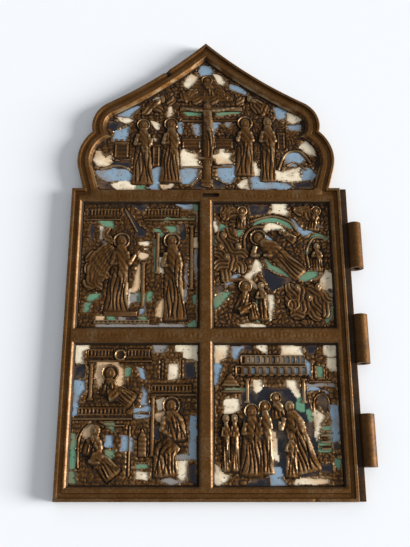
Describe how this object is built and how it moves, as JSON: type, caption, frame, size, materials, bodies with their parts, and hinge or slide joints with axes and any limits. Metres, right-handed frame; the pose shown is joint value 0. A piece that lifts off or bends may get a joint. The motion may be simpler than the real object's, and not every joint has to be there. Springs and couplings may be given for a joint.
{
  "type": "leaf of a polyptych icon",
  "caption": "Detached leaf of a folding travelling icon: cast brass plate with an ogee gable, relief scenes in enamel grounds and bored hinge knuckles along one edge.",
  "frame": {"origin": "under the middle of the leaf's box, on the flat back", "axes": "+Z out of the pictures, +Y towards the gable's point, +X towards the hinge knuckles"},
  "size_m": [0.1066, 0.1748, 0.0053],
  "materials": {
    "brass": "cast, dark brown patina, worn bright on edges",
    "enamel": "glossy, pitted and chipped; white, blue, navy and turquoise fields"
  },
  "bodies": {
    "root": {"leaf": "brass", "enamel_gable": "enamel", "enamel_upper_left": "enamel", "enamel_upper_right": "enamel", "enamel_lower_left": "enamel", "enamel_lower_right": "enamel"}
  },
  "joints": []
}
